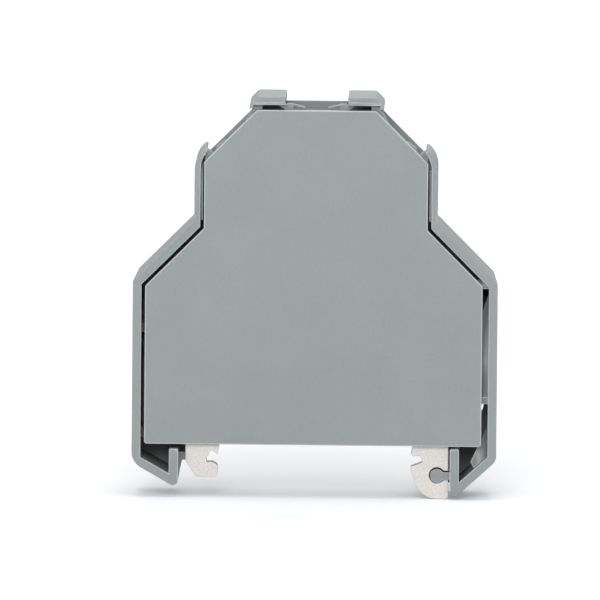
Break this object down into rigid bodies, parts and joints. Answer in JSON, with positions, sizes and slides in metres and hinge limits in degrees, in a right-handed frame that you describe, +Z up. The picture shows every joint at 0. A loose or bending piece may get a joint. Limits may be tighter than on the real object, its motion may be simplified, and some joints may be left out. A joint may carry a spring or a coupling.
{
  "type": "din rail end stop",
  "caption": "Screwless end stop that snaps on a 35 mm mounting rail and keeps terminal blocks from sliding; it carries label markers on top.",
  "frame": {"origin": "centre of the rail seat: on the rail's upper surface, on its centre line, in the middle of the stop's width", "axes": "+Z up from the rail, +Y along the rail towards the housing's closed back, +X across the rail towards the release foot"},
  "size_m": [0.0602, 0.014, 0.0666],
  "materials": {
    "housing_plastic": "fine matte moulded surface",
    "cover_plastic": "fine matte moulded surface",
    "clamp_steel": "matte plated punched sheet"
  },
  "bodies": {
    "stop": {"housing": "housing_plastic", "front_cover": "cover_plastic", "fixed_clamp_plate": "clamp_steel"},
    "sprung_plate": {"sprung_clamp_plate": "clamp_steel"}
  },
  "joints": [
    {"name": "plate_rock", "type": "hinge", "parent": "stop", "child": "sprung_plate", "pos_m": [0.02034, -0.00445, -0.003], "axis": [0, 1, 0], "range_deg": [-2, 2]}
  ]
}
